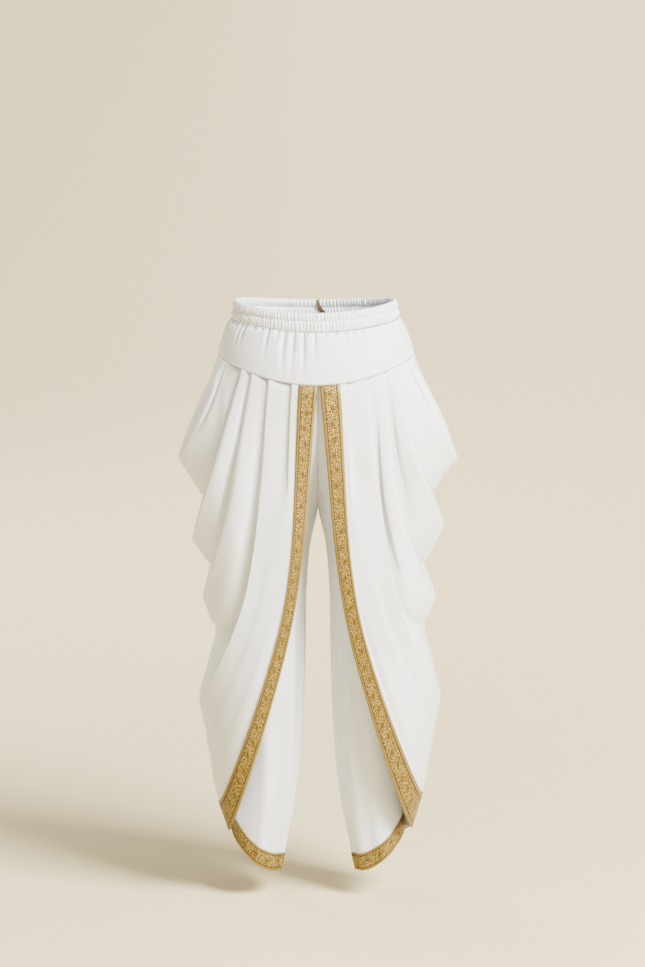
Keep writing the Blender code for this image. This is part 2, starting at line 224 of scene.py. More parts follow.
def ramp(factor, *stops):
    """Colour Ramp from a factor; each stop is a place and a grey or a colour."""
    node = add_node(factor.id_data, "ValToRGB", Fac=factor)
    for element, (place, colour) in zip(node.color_ramp.elements, stops):
        element.position = place
        element.color = (*colour, 1.0) if isinstance(colour, tuple) else (colour, colour, colour, 1.0)
    return node.outputs["Color"]


def blend(factor, first, second, kind="MIX"):
    """Mix of two colours."""
    tree = tree_of(factor, first, second)
    node = add_node(tree, "MixRGB", {"blend_type": kind}, Fac=factor, Color1=first, Color2=second)
    return node.outputs["Color"]


def cloth_place(tree):
    """The cloth's own UV map: metres across and metres along."""
    return add_node(tree, "UVMap", {"uv_map": "cloth"}).outputs["UV"]


def pattern(kind, output, place, size, settings=None, **inputs):
    """Texture over a place that is drawn at another size."""
    vector = add_node(place.id_data, "Mapping", Vector=place, Scale=size).outputs["Vector"]
    return add_node(place.id_data, kind, settings, Vector=vector, Scale=1.0, **inputs).outputs[output]


def bump(height, distance, strength, **under):
    """Bump from a height, over another bump if one is given."""
    inputs = {"Height": height, "Distance": distance, "Strength": strength, **under}
    return add_node(height.id_data, "Bump", **inputs).outputs["Normal"]


print("material helpers ready")

# %% [markdown]
# The sky of the studio is a dim dome with a bright warm band at the horizon,
# where it meets the glowing paper. One ramp over the height of the direction
# draws it, and its light fills the shade.

# %% Studio dome
dome = bpy.data.worlds.new("studio_dome")
dome.use_nodes = True
sky = dome.node_tree
way = add_node(sky, "TexCoord").outputs["Generated"]
height = add_node(sky, "SeparateXYZ", Vector=way).outputs["Z"]
band = ramp(height, (0.04, HORIZON), (0.28, DOME_GREY))
set_inputs(sky.nodes["Background"], Color=band, Strength=HORIZON_STRENGTH)
bpy.context.scene.world = dome
print("dome:", [round(HORIZON_STRENGTH * grey, 2) for grey in DOME_GREY])

# %% [markdown]
# The paper of the floor is the first finish: a warm cream, rough all over,
# with a faint mottle so that it is not one flat colour. Its glow is painted
# light: nought under the garment, where the shadow falls, and growing with the
# distance. A painted shade keeps it a little weaker on the left, away from the
# key light.

# %% Paper finish
PAPER_CREAM = (0.68, 0.565, 0.315)
PAPER_DEEP = (0.64, 0.52, 0.285)
# Painted light on the floor: its strength, and the distance from the garment at which it reaches half.
PAINTED_FLOOR_LIGHT = 2.15
PAINTED_LIGHT_FROM = 2.2
# Painted shade: the floor's glow weakens towards the left, down to the least share below.
PAINTED_SHADE_LEFT_RATE = 0.20
PAINTED_LIGHT_LEFT_LEAST = 0.75

material, tree, shader = new_finish("cream_paper_painted_light")
body = add_node(tree, "TexCoord").outputs["Object"]
mottle = add_node(tree, "TexNoise", Vector=body, Scale=0.45, Detail=3.0).outputs["Fac"]
x, y, _ = add_node(tree, "SeparateXYZ", Vector=body).outputs
square = maths("ADD", maths("MULTIPLY", x, x), maths("MULTIPLY", y, y))
# painted light: the floor glows more the further it lies from the garment, and not at all under it
far = maths("DIVIDE", square, maths("ADD", square, PAINTED_LIGHT_FROM ** 2))
# painted shade: less glow on the left, away from the key light
lean = maths("MINIMUM", maths("MAXIMUM", maths("MULTIPLY_ADD", x, PAINTED_SHADE_LEFT_RATE, 1.0), PAINTED_LIGHT_LEFT_LEAST), 1.0)
set_inputs(
    shader,
    Base_Color=ramp(mottle, (0.30, PAPER_DEEP), (0.70, PAPER_CREAM)),
    Roughness=0.95,
    Specular_IOR_Level=0.1,
    Emission_Color=HORIZON,
    Emission_Strength=maths("MULTIPLY", maths("MULTIPLY", far, PAINTED_FLOOR_LIGHT), lean),
)
floor.data.materials.append(material)
print("finish:", material.name)

# %% [markdown]
# ## White crepe
#
# The cloth is a satin-backed crepe: matt and slightly grained close up, with
# a broad soft sheen on the folds. Three layers make it. A fine twill and a
# pebbled noise give the grain as bump. A very large, weak noise warms and
# cools the white, as cloth that has been handled. Sheen on the shader gives
# the pale rim where the surface turns away. The numbers that are the same
# all over sit on the shader's own sockets.

# %% White crepe finish
TWILL_PITCH = 0.00042 / 0.31
CREPE_WHITE = (0.705, 0.716, 0.736)
CREPE_WARM = (0.685, 0.686, 0.692)
DIAGONAL = {"bands_direction": "DIAGONAL"}


def white_crepe():
    """Matt crepe with a soft sheen."""
    material, tree, shader = new_finish("white_crepe")
    place = cloth_place(tree)
    body = add_node(tree, "TexCoord").outputs["Object"]
    patches = add_node(tree, "TexNoise", Vector=body, Scale=5.5, Detail=3.0, Roughness=0.55).outputs["Fac"]
    pebble = pattern("TexVoronoi", "Distance", place, (900.0, 620.0, 900.0))
    threads = (1 / TWILL_PITCH, 1 / TWILL_PITCH, 1.0)
    twill = pattern("TexWave", "Fac", place, threads, DIAGONAL, Distortion=1.6, Detail=1.0)
    soft = pattern("TexNoise", "Fac", place, (38.0, 16.0, 38.0), Detail=4.0)
    grain = blend(0.45, pebble, twill)
    shade = ramp(patches, (0.32, CREPE_WARM), (0.62, CREPE_WHITE))
    set_inputs(
        shader,
        Base_Color=blend(0.05, shade, grain, "MULTIPLY"),
        Roughness=ramp(soft, (0.30, 0.46), (0.75, 0.60)),
        Normal=bump(grain, 0.00012, 0.55, Normal=bump(soft, 0.0012, 0.30)),
        Specular_IOR_Level=0.38,
        Sheen_Weight=0.22,
        Sheen_Roughness=0.45,
        Sheen_Tint=(1.0, 0.99, 0.98),
    )
    return material


crepe = white_crepe()
print("finish:", crepe.name)

# %% [markdown]
# ## Gold brocade
#
# The border is a woven ribbon with metal thread. Across its 30 mm there is a
# plain gold edge, a brown stitched line, a field of brocade, and the same
# again. The place across the ribbon picks the zone, so all of it is one
# material that reads the ribbon's UV map.
#
# The field is a common scroll-and-rosette ground: a vine that swings from
# side to side, a rosette in each bend, and small worm-like threads between
# them. The vine is a sine of the length, and a rosette is a ring whose radius
# swings with the angle. Both are worked out with Math nodes.

# %% Gold brocade finish
RIBBON_WIDTH = 0.030
EDGE_STRIP = 0.0044
STITCH_LINE = 0.0019
STITCH_PITCH = 0.0036
ROSETTE_PITCH = 0.026
ROSETTE_RADIUS = 0.0052
PETALS = 6.0
PETAL_DEPTH = 0.0007
RING_TURN = 2700.0
VINE_SWING = 0.0050
VINE_WIDTH = 0.0010
GOLD_LIGHT = (0.51, 0.348, 0.074)
GOLD_MIDDLE = (0.135, 0.074, 0.006)
GOLD_DARK = (0.034, 0.016, 0.001)
STITCH_BROWN = (0.012, 0.004, 0.001)


def line_at(value, centre, width, soft):
    """One where a value lies on a line of a width, falling to nought at its edges."""
    away = maths("ABSOLUTE", maths("SUBTRACT", value, centre))
    return clamped(maths("MULTIPLY_ADD", maths("SUBTRACT", width / 2, away), 1 / soft, 0.5))


def rosettes(across, along):
    """Rosettes in the bends of the vine, on alternate sides."""
    steps = maths("DIVIDE", along, ROSETTE_PITCH)
    turn = maths("MULTIPLY_ADD", maths("MODULO", maths("FLOOR", steps), 2.0), 2.0, -1.0)
    centre = maths("MULTIPLY_ADD", turn, -VINE_SWING * 0.62, RIBBON_WIDTH / 2)
    side = maths("SUBTRACT", across, centre)
    up = maths("MULTIPLY", maths("SUBTRACT", maths("FRACT", steps), 0.5), ROSETTE_PITCH)
    square = maths("ADD", maths("MULTIPLY", side, side), maths("MULTIPLY", up, up))
    petals = maths("COSINE", maths("MULTIPLY", maths("ARCTAN2", up, side), PETALS))
    wavy = maths("MULTIPLY_ADD", petals, PETAL_DEPTH, maths("SQRT", square))
    disc = clamped(maths("MULTIPLY", maths("SUBTRACT", ROSETTE_RADIUS, wavy), 1400.0))
    return disc, maths("MULTIPLY_ADD", maths("COSINE", maths("MULTIPLY", wavy, RING_TURN)), 0.5, 0.5)


def brocade_field(place, across, along, thread):
    """Colour and raised parts of the field: worm threads, rosettes and the vine."""
    drift = ramp(pattern("TexNoise", "Fac", place, (60.0, 34.0, 1.0), Detail=2.0), (0.38, 0.0), (0.62, 1.0))
    ground = blend(thread, GOLD_DARK, GOLD_LIGHT)
    ground = blend(maths("MULTIPLY", drift, 0.35), ground, GOLD_MIDDLE)
    disc, rings = rosettes(across, along)
    field = blend(maths("MULTIPLY", disc, 0.80), ground, blend(rings, GOLD_DARK, GOLD_MIDDLE))
    swing = maths("SINE", maths("MULTIPLY", along, math.pi / ROSETTE_PITCH))
    vine_at = maths("MULTIPLY_ADD", swing, VINE_SWING, RIBBON_WIDTH / 2)
    vine = line_at(across, vine_at, VINE_WIDTH, 0.0006)
    return blend(maths("MULTIPLY", vine, 0.40), field, GOLD_LIGHT), maths("ADD", vine, disc)


print(f"brocade: {1000 * RIBBON_WIDTH:.0f} mm wide, a rosette every {1000 * ROSETTE_PITCH:.0f} mm")

# %% [markdown]
# The stitched lines and the plain edges lie at set distances from the middle
# of the ribbon, so one distance serves both sides. The raised thread and the
# sunk stitches give the bump. Metal thread glints unevenly, so its roughness
# follows small cells.

# %% Gold ribbon finish
def gold_brocade():
    """Metal-thread ribbon with stitched edges and a rosette ground."""
    material, tree, shader = new_finish("gold_brocade")
    place = cloth_place(tree)
    across, along, _ = add_node(tree, "SeparateXYZ", Vector=place).outputs
    worms = pattern("TexNoise", "Fac", place, (520.0, 420.0, 1.0), Detail=1.5)
    thread = ramp(worms, (0.45, 0.0), (0.60, 1.0))
    field, raised = brocade_field(place, across, along, thread)
    cord = pattern("TexWave", "Fac", place, (1.0, 260.0, 1.0), {"bands_direction": "Y"}, Distortion=0.6)
    edge = blend(maths("MULTIPLY", cord, 0.55), GOLD_MIDDLE, GOLD_LIGHT)
    from_middle = maths("ABSOLUTE", maths("SUBTRACT", across, RIBBON_WIDTH / 2))
    strip_from = RIBBON_WIDTH / 2 - EDGE_STRIP
    is_edge = clamped(maths("MULTIPLY", maths("SUBTRACT", from_middle, strip_from), 3000.0))
    line = line_at(from_middle, strip_from, STITCH_LINE, 0.0005)
    dash = maths("FRACT", maths("DIVIDE", along, STITCH_PITCH))
    dashed = clamped(maths("MULTIPLY_ADD", maths("SUBTRACT", 0.80, dash), 12.0, 0.55))
    stitched = maths("MULTIPLY", line, maths("MULTIPLY_ADD", dashed, 0.35, 0.65))
    glint = pattern("TexVoronoi", "Distance", place, (1100.0, 1100.0, 1.0))
    height = maths("ADD", maths("MULTIPLY_ADD", glint, 0.5, thread), maths("MULTIPLY", raised, 0.8))
    set_inputs(
        shader,
        Base_Color=blend(maths("MULTIPLY", stitched, 0.92), blend(is_edge, field, edge), STITCH_BROWN),
        Roughness=ramp(glint, (0.0, 0.28), (0.7, 0.50)),
        Normal=bump(maths("SUBTRACT", height, maths("MULTIPLY", line, 1.6)), 0.00035, 0.75),
        Metallic=maths("MULTIPLY_ADD", stitched, -0.35, 0.40),
        Specular_IOR_Level=0.35,
    )
    return material


brocade = gold_brocade()
print("finish:", brocade.name)

# %% [markdown]
# ## Brown woven tape
#
# The small tab inside the back is a loop of twill tape. A diagonal wave in
# two browns is enough at its size.

# %% Brown tape finish
TAPE_DARK = (0.012, 0.005, 0.001)
TAPE_LIGHT = (0.15, 0.075, 0.014)

tape, tree, shader = new_finish("twill_tape")
twill = pattern("TexWave", "Fac", cloth_place(tree), (150.0, 150.0, 1.0), DIAGONAL, Distortion=0.8)
set_inputs(
    shader,
    Base_Color=ramp(twill, (0.25, TAPE_DARK), (0.85, TAPE_LIGHT)),
    Normal=bump(twill, 0.0002, 0.6),
    Roughness=0.55,
    Metallic=0.15,
)
print("finish:", tape.name)

# %% [markdown]
# ## From a grid of points to a piece of cloth
#
# Every piece is a sheet of cloth, so one routine makes them all. It starts
# from the grid operator, moves each point of the grid to its place, and
# lays out the UV map by measuring the cloth: the distance along the weft
# gives u, and the distance along the warp gives v. A Solidify modifier gives
# the sheet its wall. The same routine hides the solid that the sheet stands
# for and makes it ride on the garment's body.

# %% Cloth maker
CLOTH_WALL = 0.0011
RIBBON_WALL = 0.0009
RIBBON_LIFT = CLOTH_WALL / 2 + RIBBON_WALL / 2 + 0.0005


def measured_map(points, across=None):
    """Metres of cloth from the first column and from the first row."""
    over = np.linalg.norm(np.diff(points, axis=1), axis=2)
    down = np.linalg.norm(np.diff(points, axis=0), axis=2)
    u = np.concatenate([np.zeros((points.shape[0], 1)), np.cumsum(over, axis=1)], axis=1)
    v = np.concatenate([np.zeros((1, points.shape[1])), np.cumsum(down, axis=0)], axis=0)
    if across is not None:
        u = np.broadcast_to(np.linspace(0.0, across, points.shape[1]), u.shape)
        v = np.broadcast_to(v.mean(axis=1, keepdims=True), v.shape)
    return np.stack([u, v], axis=2)


def cloth_sheet(name, points, wall, finish, solid, across=None, ring=False):
    """Piece of cloth through a grid of points, rows by columns."""
    rows, columns = points.shape[:2]
    grid = bmesh.new()
    bmesh.ops.create_grid(grid, x_segments=columns - 1, y_segments=rows - 1, size=0.5)
    mesh = bpy.data.meshes.new(name)
    grid.to_mesh(mesh)
    grid.free()
    flat = np.empty(len(mesh.vertices) * 3)
    mesh.vertices.foreach_get("co", flat)
    flat = flat.reshape(-1, 3)
    column = np.rint((flat[:, 0] + 0.5) * (columns - 1)).astype(int)
    row = np.rint((flat[:, 1] + 0.5) * (rows - 1)).astype(int)
    mesh.vertices.foreach_set("co", points[row, column].ravel())
    corners = np.empty(len(mesh.loops), dtype=np.int32)
    mesh.loops.foreach_get("vertex_index", corners)
    place = measured_map(points, across)[row, column]
    layer = mesh.uv_layers.new(name="cloth")
    layer.data.foreach_set("uv", place[corners].astype(np.float32).ravel())
    mesh.update()
    if ring:
        closing = bmesh.new()
        closing.from_mesh(mesh)
        bmesh.ops.remove_doubles(closing, verts=closing.verts, dist=0.00002)
        bmesh.ops.recalc_face_normals(closing, faces=closing.faces)
        closing.to_mesh(mesh)
        closing.free()
    mesh.shade_smooth()
    mesh.materials.append(finish)
    piece = put(name, mesh)
    if wall:
        thickness = piece.modifiers.new("wall", "SOLIDIFY")
        thickness.thickness = wall
        thickness.offset = 0.0
    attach(piece, "root")
    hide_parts(solid)
    print(f"{name}: {rows} x {columns} points")
    return piece


def white_sheet(name, points, solid, wall=CLOTH_WALL, ring=False):
    """Piece of white crepe through a grid of points."""
    return cloth_sheet(name, points, wall, crepe, solid, ring=ring)


def gold_ribbon(name, points, solid):
    """Piece of the woven border through a grid of points."""
    return cloth_sheet(name, points, RIBBON_WALL, brocade, solid, across=RIBBON_WIDTH)


print(f"cloth maker ready: cloth {1000 * CLOTH_WALL:.1f} mm thick, border {1000 * RIBBON_WALL:.1f} mm")

# %% [markdown]
# ## Curves that the cloth follows
#
# Cloth has no corners where it turns, so every row of points is drawn
# through its main points with a smooth line. Each gap gets the number of
# steps that its curve needs. The slope at a point is weighed by the gaps on
# both sides, which stops the line from swinging out next to a tight fold.

# %% Smooth lines
def smooth(value):
    """Ease from 0 to 1 as value goes from 0 to 1."""
    value = min(max(value, 0.0), 1.0)
    return value * value * (3 - 2 * value)


def mix(first, second, share):
    """Blend two numbers or two points."""
    return first * (1 - share) + second * share


def hermite(start, leaving, end, arriving, share):
    """Point on a smooth curve, from its ends and its speeds there."""
    cube, square = share ** 3, share ** 2
    point = start * (2 * cube - 3 * square + 1) + leaving * (cube - 2 * square + share)
    return point + end * (3 * square - 2 * cube) + arriving * (cube - square)


def line_through(points, steps):
    """Smooth line through rows of points, with a number of steps in each gap."""
    gaps = np.diff(points, axis=-2)
    lengths = np.maximum(np.linalg.norm(gaps, axis=-1, keepdims=True), 1e-5)
    slopes = gaps / lengths
    before, after = lengths[..., :-1, :], lengths[..., 1:, :]
    inner = (slopes[..., :-1, :] * after + slopes[..., 1:, :] * before) / (before + after)
    ways = np.concatenate([slopes[..., :1, :], inner, slopes[..., -1:, :]], axis=-2)
    drawn = []
    for gap, count in enumerate(steps):
        ends = points[..., gap, :], points[..., gap + 1, :]
        leaving, arriving = (ways[..., gap + past, :] * lengths[..., gap, :] for past in (0, 1))
        drawn += [hermite(ends[0], leaving, ends[1], arriving, step / count) for step in range(count)]
    drawn.append(points[..., -1, :])
    return np.stack(drawn, axis=-2)


def outward(points, towards):
    """Unit normal of a grid at each point, on the side that faces away from a centre."""
    along = np.gradient(points, axis=0)
    over = np.gradient(points, axis=1)
    normal = np.cross(over, along)
    normal /= np.maximum(np.linalg.norm(normal, axis=2, keepdims=True), 1e-12)
    facing = ((points - towards) * normal).sum()
    return normal if facing > 0 else -normal


print("smooth lines ready")

# %% [markdown]
# ## Waist: two elastic channels
#
# The top of the garment is turned over two rows of elastic. Stretched on the
# machine and then let go, the elastic gathers each channel into fine upright
# ribs, about 5 mm apart, all the way round and on the inside too. A ring
# whose section is a soft flat tube, swelled rib by rib, gives that look. Real
# ribs differ a little in width and height, so a seeded list makes them so.

# %% Sizes of the waist and yoke
Level = namedtuple("Level", "side_z dip half_width half_depth lean")
RIM = Level(0.0210, 0.0120, 0.1350, 0.0950, -0.0048)
CREASE = Level(0.0050, 0.0105, 0.1378, 0.0975, -0.0045)
BAND_FOOT = Level(-0.0100, 0.0130, 0.1400, 0.0990, -0.0043)
YOKE_LEVELS = (
    BAND_FOOT,
    Level(-0.0180, 0.0145, 0.1468, 0.1035, -0.0042),
    Level(-0.0310, 0.0190, 0.1530, 0.1080, -0.0040),
    Level(-0.0500, 0.0270, 0.1595, 0.1140, -0.0035),
    Level(-0.0710, 0.0378, 0.1645, 0.1180, -0.0030),
)
YOKE_SEAM = YOKE_LEVELS[-1]
SEAM_STEP = 0.0008


def level_point(level, angle, out=0.0):
    """Point round the waist or yoke; the angle is 0 at +X and negative in front."""
    x = (level.half_width + out) * math.cos(angle) + level.lean
    y = (level.half_depth + out) * math.sin(angle)
    return (x, y, level.side_z - level.dip * math.sin(angle) ** 2)


def rows_of(kind, *rows):
    """Table whose rows have named columns."""
    return tuple(kind(*row) for row in rows)


def between(first, second, share):
    """Row of sizes at a share of the way from one row of a table to another."""
    return type(first)(*(mix(one, other, share) for one, other in zip(first, second)))


around = math.tau * (YOKE_SEAM.half_width + YOKE_SEAM.half_depth) / 2
print(f"yoke seam: about {around:.2f} m round")

# %% [markdown]
# The ring of a channel is drawn section by section. A section is a flat oval
# that puffs out where a rib is and stays flat in the valley between two ribs.
# Powers below one square the oval off, as a band of elastic inside does.

# %% Elastic channels
RIBS = 144
POINTS_A_RIB = 8
SECTION_POINTS = 12
CHANNEL_HALF_WALL = 0.0013
CHANNEL_INSET = 0.0018
RIB_HEIGHT = 0.0032
CHANNEL_LAP = 0.0012


def squared(value, power):
    """Power of a number that keeps its sign."""
    return math.copysign(abs(value) ** power, value)


def channel_section(top, foot, angle, swell):
    """Closed section of a channel, swelled by its rib."""
    section = []
    for point in range(SECTION_POINTS):
        turn = math.tau * point / SECTION_POINTS
        lift = 0.5 + 0.5 * squared(math.sin(turn), 0.8)
        puff = math.sin(math.pi * lift) ** 0.6
        out = (CHANNEL_HALF_WALL + RIB_HEIGHT * swell * puff) * squared(math.cos(turn), 0.7)
        level = between(foot, top, lift + 0.02 * (swell - 0.5))
        section.append(level_point(level, angle, out - CHANNEL_INSET))
    return section + section[:1]


def elastic_channel(name, solid, top, foot, seed):
    """Gathered ring with ribs of uneven width and height, inside and out."""
    chance = random.Random(seed)
    widths = [chance.uniform(0.75, 1.25) for _ in range(RIBS)]
    heights = [chance.uniform(0.65, 1.15) for _ in range(RIBS)]
    rows = []
    turned = 0.0
    for width, height in zip(widths, heights):
        for step in range(POINTS_A_RIB):
            share = step / POINTS_A_RIB
            angle = math.tau * (turned + width * share) / sum(widths)
            swell = height * math.sin(math.pi * share) ** 0.8
            rows.append(channel_section(top, foot, angle, swell))
        turned += width
    rows.append(rows[0])
    return white_sheet(name, np.array(rows), solid, wall=0.0, ring=True)


lower_top = CREASE._replace(side_z=CREASE.side_z + CHANNEL_LAP)
upper = elastic_channel("upper_elastic_channel", "waistband_upper", RIM, CREASE, seed=11)
lower = elastic_channel("lower_elastic_channel", "waistband_lower", lower_top, BAND_FOOT, seed=12)

# %% [markdown]
# ## Yoke: gathers that die out
#
# The yoke is cut wider than the elastic that it hangs from, so it starts in
# gathers and lies smooth by the time it reaches the seam. A gather is drawn
# as a soft trough that falls straight down, with the cloth proud on both its
# sides. They are placed at uneven distances, some short and some nearly as
# long as the yoke, deeper on the left in front where the photograph shows
# them best, and alike at the back.

# %% Yoke
YOKE_ROWS_A_LEVEL = 9
YOKE_COLUMNS = 260
YOKE_HALF_GAP = 0.0004
FINE_GATHERS = 131
FINE_DEPTH = 0.0011
Gather = namedtuple("Gather", "angle width depth length")


def uneven_gathers(number, seed):
    """Gathers for half of the yoke, from one side to the other."""
    chance = random.Random(seed)
    gathers = []
    for index in range(number):
        share = (index + chance.uniform(0.25, 0.75)) / number
        shown = mix(1.0, 0.50, smooth((share - 0.45) / 0.4))
        depth = -shown * chance.uniform(0.0038, 0.0066)
        length = chance.choice((0.25, 0.40, 0.60, 0.75, 1.00))
        gathers.append(Gather(math.pi * share, chance.uniform(0.017, 0.028), depth, length))
    return gathers


def yoke_half(name, solid, first_angle, gathers):
    """Front or back of the yoke, from its first angle through half a turn."""
    levels = line_through(np.array(YOKE_LEVELS), [YOKE_ROWS_A_LEVEL] * (len(YOKE_LEVELS) - 1))
    gap = YOKE_HALF_GAP / YOKE_SEAM.half_depth
    rows = []
    for number, values in enumerate(levels[::-1]):
        level = Level(*values)
        down = 1 - number / (len(levels) - 1)
        if number == len(levels) - 1:
            level = level._replace(side_z=level.side_z - SEAM_STEP)
        row = []
        for column in range(YOKE_COLUMNS + 1):
            angle = mix(gap, math.pi - gap, column / YOKE_COLUMNS)
            out = 0.0
            for gather in gathers:
                away = (angle - gather.angle) / gather.width
                if abs(away) < 3:
                    run_out = 1 - smooth((down / gather.length - 0.25) / 0.75)
                    fall = run_out * (0.45 + 0.55 * smooth(down * 12 + 0.4))
                    out += gather.depth * math.exp(-away * away) * fall
            fine = math.sin(FINE_GATHERS * angle) * FINE_DEPTH * (1 - smooth(down / 0.22))
            row.append(level_point(level, first_angle + angle, out + fine))
        rows.append(row)
    return white_sheet(name, np.array(rows), solid)


front_yoke = yoke_half("front_yoke_cloth", "yoke_front", -math.pi, uneven_gathers(27, seed=21))
back_yoke = yoke_half("back_yoke_cloth", "yoke_back", 0.0, uneven_gathers(25, seed=22))

# %% [markdown]
# ## Tab inside the back
#
# A short loop of tape hangs from the rim at the centre back. It widens as it
# falls and drifts to one side, and its loop makes it two layers thick.

# %% Tab
TAB_LENGTH = 0.022
TAB_WIDTH = (0.0034, 0.0098)
TAB_WALL = 0.0014
TAB_DRIFT = 0.0085
TAB_BOW = 0.0020
TAB_CURL = 0.0003
TAB_STEPS = 14
BAND_HALF_WALL = 0.0016
TAB_GAP = 0.0014

inside = RIM.half_depth - BAND_HALF_WALL - TAB_GAP - TAB_WALL / 2
rows = []
for row in range(TAB_STEPS + 1):
    down = 1 - row / TAB_STEPS
    half = mix(*TAB_WIDTH, down) / 2
    y = inside - TAB_BOW * math.sin(math.pi * down)
    z = RIM.side_z - RIM.dip - TAB_LENGTH * down
    across = [column / 3 for column in range(-3, 4)]
    rows.append([(TAB_DRIFT * down ** 2 + half * part, y + TAB_CURL * part ** 2, z) for part in across])
tab = cloth_sheet("back_loop_tape", np.array(rows), TAB_WALL, tape, "back_tab")

# %% [markdown]
# ## Trouser legs
#
# Under the draped panels there is a plain tapered pair of trousers. A leg is
# a sheet wrapped round an oval. Above the crotch it ends at the rise seam in
# the middle, so it covers less than a full turn there. A short table
# gives a row of sizes for each height, and a smooth line through the table
# gives all the rows between.

# %% Leg sizes
LegRow = namedtuple("LegRow", "z drop slant inner outer depth lean clear")
LEG_ROWS = rows_of(
    LegRow,
    (-0.0600, 0.0378, 0.0, 0.0003, 0.1560, 0.1103, -0.0030, 0.0017),
    (-0.1350, 0.0300, 0.0, 0.0003, 0.1540, 0.1075, -0.0025, 0.0035),
    (-0.2000, 0.0120, 0.0, 0.0004, 0.1490, 0.1045, -0.0015, 0.0050),
    (-0.2650, 0.0030, 0.0, 0.0007, 0.1460, 0.1025, -0.0005, 0.0050),
    (-0.3360, 0.0, 0.0, 0.0010, 0.1430, 0.1000, 0.0, 0.0050),
    (-0.3900, 0.0, 0.0, 0.0125, 0.1410, 0.0960, 0.0, 0.0050),
    (-0.4700, 0.0, 0.0, 0.0195, 0.1390, 0.0900, 0.0, 0.0050),
    (-0.5700, 0.0, 0.0, 0.0215, 0.1370, 0.0820, 0.0, 0.0050),
    (-0.6800, 0.0, 0.0, 0.0250, 0.1360, 0.0730, 0.0, 0.0050),
    (-0.7900, 0.0, 0.0080, 0.0335, 0.1380, 0.0640, 0.0, 0.0050),
    (-0.8950, 0.0130, 0.0320, 0.0575, 0.1440, 0.0570, 0.0, 0.0050),
    (-0.9250, 0.0130, 0.0320, 0.0650, 0.1460, 0.0560, 0.0, 0.0050),
)
CROTCH_ROW = 4
CROTCH_Z = LEG_ROWS[CROTCH_ROW].z + 0.004
RISE_CURVE = 2.5
LEG_STEPS = 9
LEG_COLUMNS = 168
HEM_FROM = 10
SIDES = {"left": -1, "right": 1}

fine_table = line_through(np.array(LEG_ROWS), [LEG_STEPS] * (len(LEG_ROWS) - 1))
FINE_LEG_ROWS = [LegRow(*values) for values in fine_table]
print(f"leg: {len(LEG_ROWS)} rows drawn out to {len(FINE_LEG_ROWS)}")

# %% [markdown]
# The oval of a leg is worked out from its inner and outer edge. Above the
# crotch the leg's edges turn towards the front and the back along a curve, so
# the two legs meet in the rise seam on the centre line.

# %% Leg geometry
def leg_row_at(z):
    """Leg sizes at a height, between the drawn rows."""
    for upper_row, lower_row in zip(FINE_LEG_ROWS, FINE_LEG_ROWS[1:]):
        if z >= lower_row.z:
            break
    share = min(max((upper_row.z - z) / (upper_row.z - lower_row.z), 0.0), 1.0)
    return between(upper_row, lower_row, share)


def rise_angle(z):
    """Angle of the leg's edge: a quarter turn at the yoke, a half below the crotch."""
    top = LEG_ROWS[0].z
    share = (top - z) / (top - LEG_ROWS[CROTCH_ROW].z)
    return math.radians(90 + 90 * min(max(share, 0.0), 1.0) ** RISE_CURVE)


def leg_oval(side, row):
    """Centre and half width of the oval that a leg's section is part of."""
    outer = row.outer + SIDES[side] * row.lean
    half_width = (outer - row.inner) / (1 - math.cos(rise_angle(row.z)))
    return outer - half_width, half_width


def on_leg(side, row, angle, out=0.0):
    """Point of a leg's section, x outward; the angle is 0 at the outer side."""
    centre, half_width = leg_oval(side, row)
    x = centre + (half_width + out) * math.cos(angle)
    y = (row.depth + out) * math.sin(angle)
    z = row.z - row.drop * math.sin(angle) ** 2 + row.slant * math.cos(angle)
    return Vector((x, y, z))


print(f"rise seam: {1000 * (LEG_ROWS[0].z - LEG_ROWS[CROTCH_ROW].z):.0f} mm from the yoke to the crotch")

# %% [markdown]
# The cloth of a leg is not a clean tube. A tuck is pressed in about 11 mm
# from the inseam, front and back. Soft upright folds hang from the crotch,
# and a few slack ones lie across the shin above the hem. Each is a row of a
# table: where it lies round the leg in degrees from the outer side, where it
# starts and ends, how it drifts, and how deep and how wide it is.

# %% Folds of the legs
LegFold = namedtuple("LegFold", "angle drift starts ends depth width")
LEG_FOLDS = {
    "left": rows_of(
        LegFold,
        (-160, 5, -0.42, -1.10, 0.0034, 3.4),
        (-151, 5, -0.42, -1.10, -0.0016, 5.0),
        (-146, 10, -0.42, -0.90, -0.0035, 9.0),
        (-124, -14, -0.46, -0.86, 0.0042, 11.0),
        (-103, -10, -0.60, -0.93, -0.0034, 12.0),
        (-80, -16, -0.66, -0.92, 0.0030, 12.0),
        (158, -5, -0.42, -1.10, 0.0032, 3.4),
        (138, -9, -0.44, -0.84, -0.0040, 11.0),
        (112, 12, -0.52, -0.90, 0.0040, 12.0),
        (84, 10, -0.60, -0.93, -0.0030, 13.0),
    ),
    "right": rows_of(
        LegFold,
        (-159, 4, -0.42, -1.10, 0.0034, 3.4),
        (-150, 5, -0.42, -1.10, -0.0015, 5.0),
        (-140, 12, -0.40, -0.82, -0.0038, 10.0),
        (-118, -12, -0.50, -0.93, 0.0036, 12.0),
        (-95, -8, -0.64, -0.93, -0.0036, 13.0),
        (159, -6, -0.42, -1.10, 0.0032, 3.4),
        (135, -12, -0.42, -0.88, -0.0036, 11.0),
        (108, 9, -0.56, -0.93, 0.0038, 13.0),
    ),
}
LEG_SLACK = 0.0007
print("folds of the legs:", ", ".join(f"{len(LEG_FOLDS[side])} on the {side}" for side in SIDES))

# %% [markdown]
# A fold fades in and out along its length, and a wave or two of slack crosses
# the lower leg. The swell dies out at the edges of the sheet, where the seams
# hold it. The border of the hem is the leg's lowest rows again, moved out.

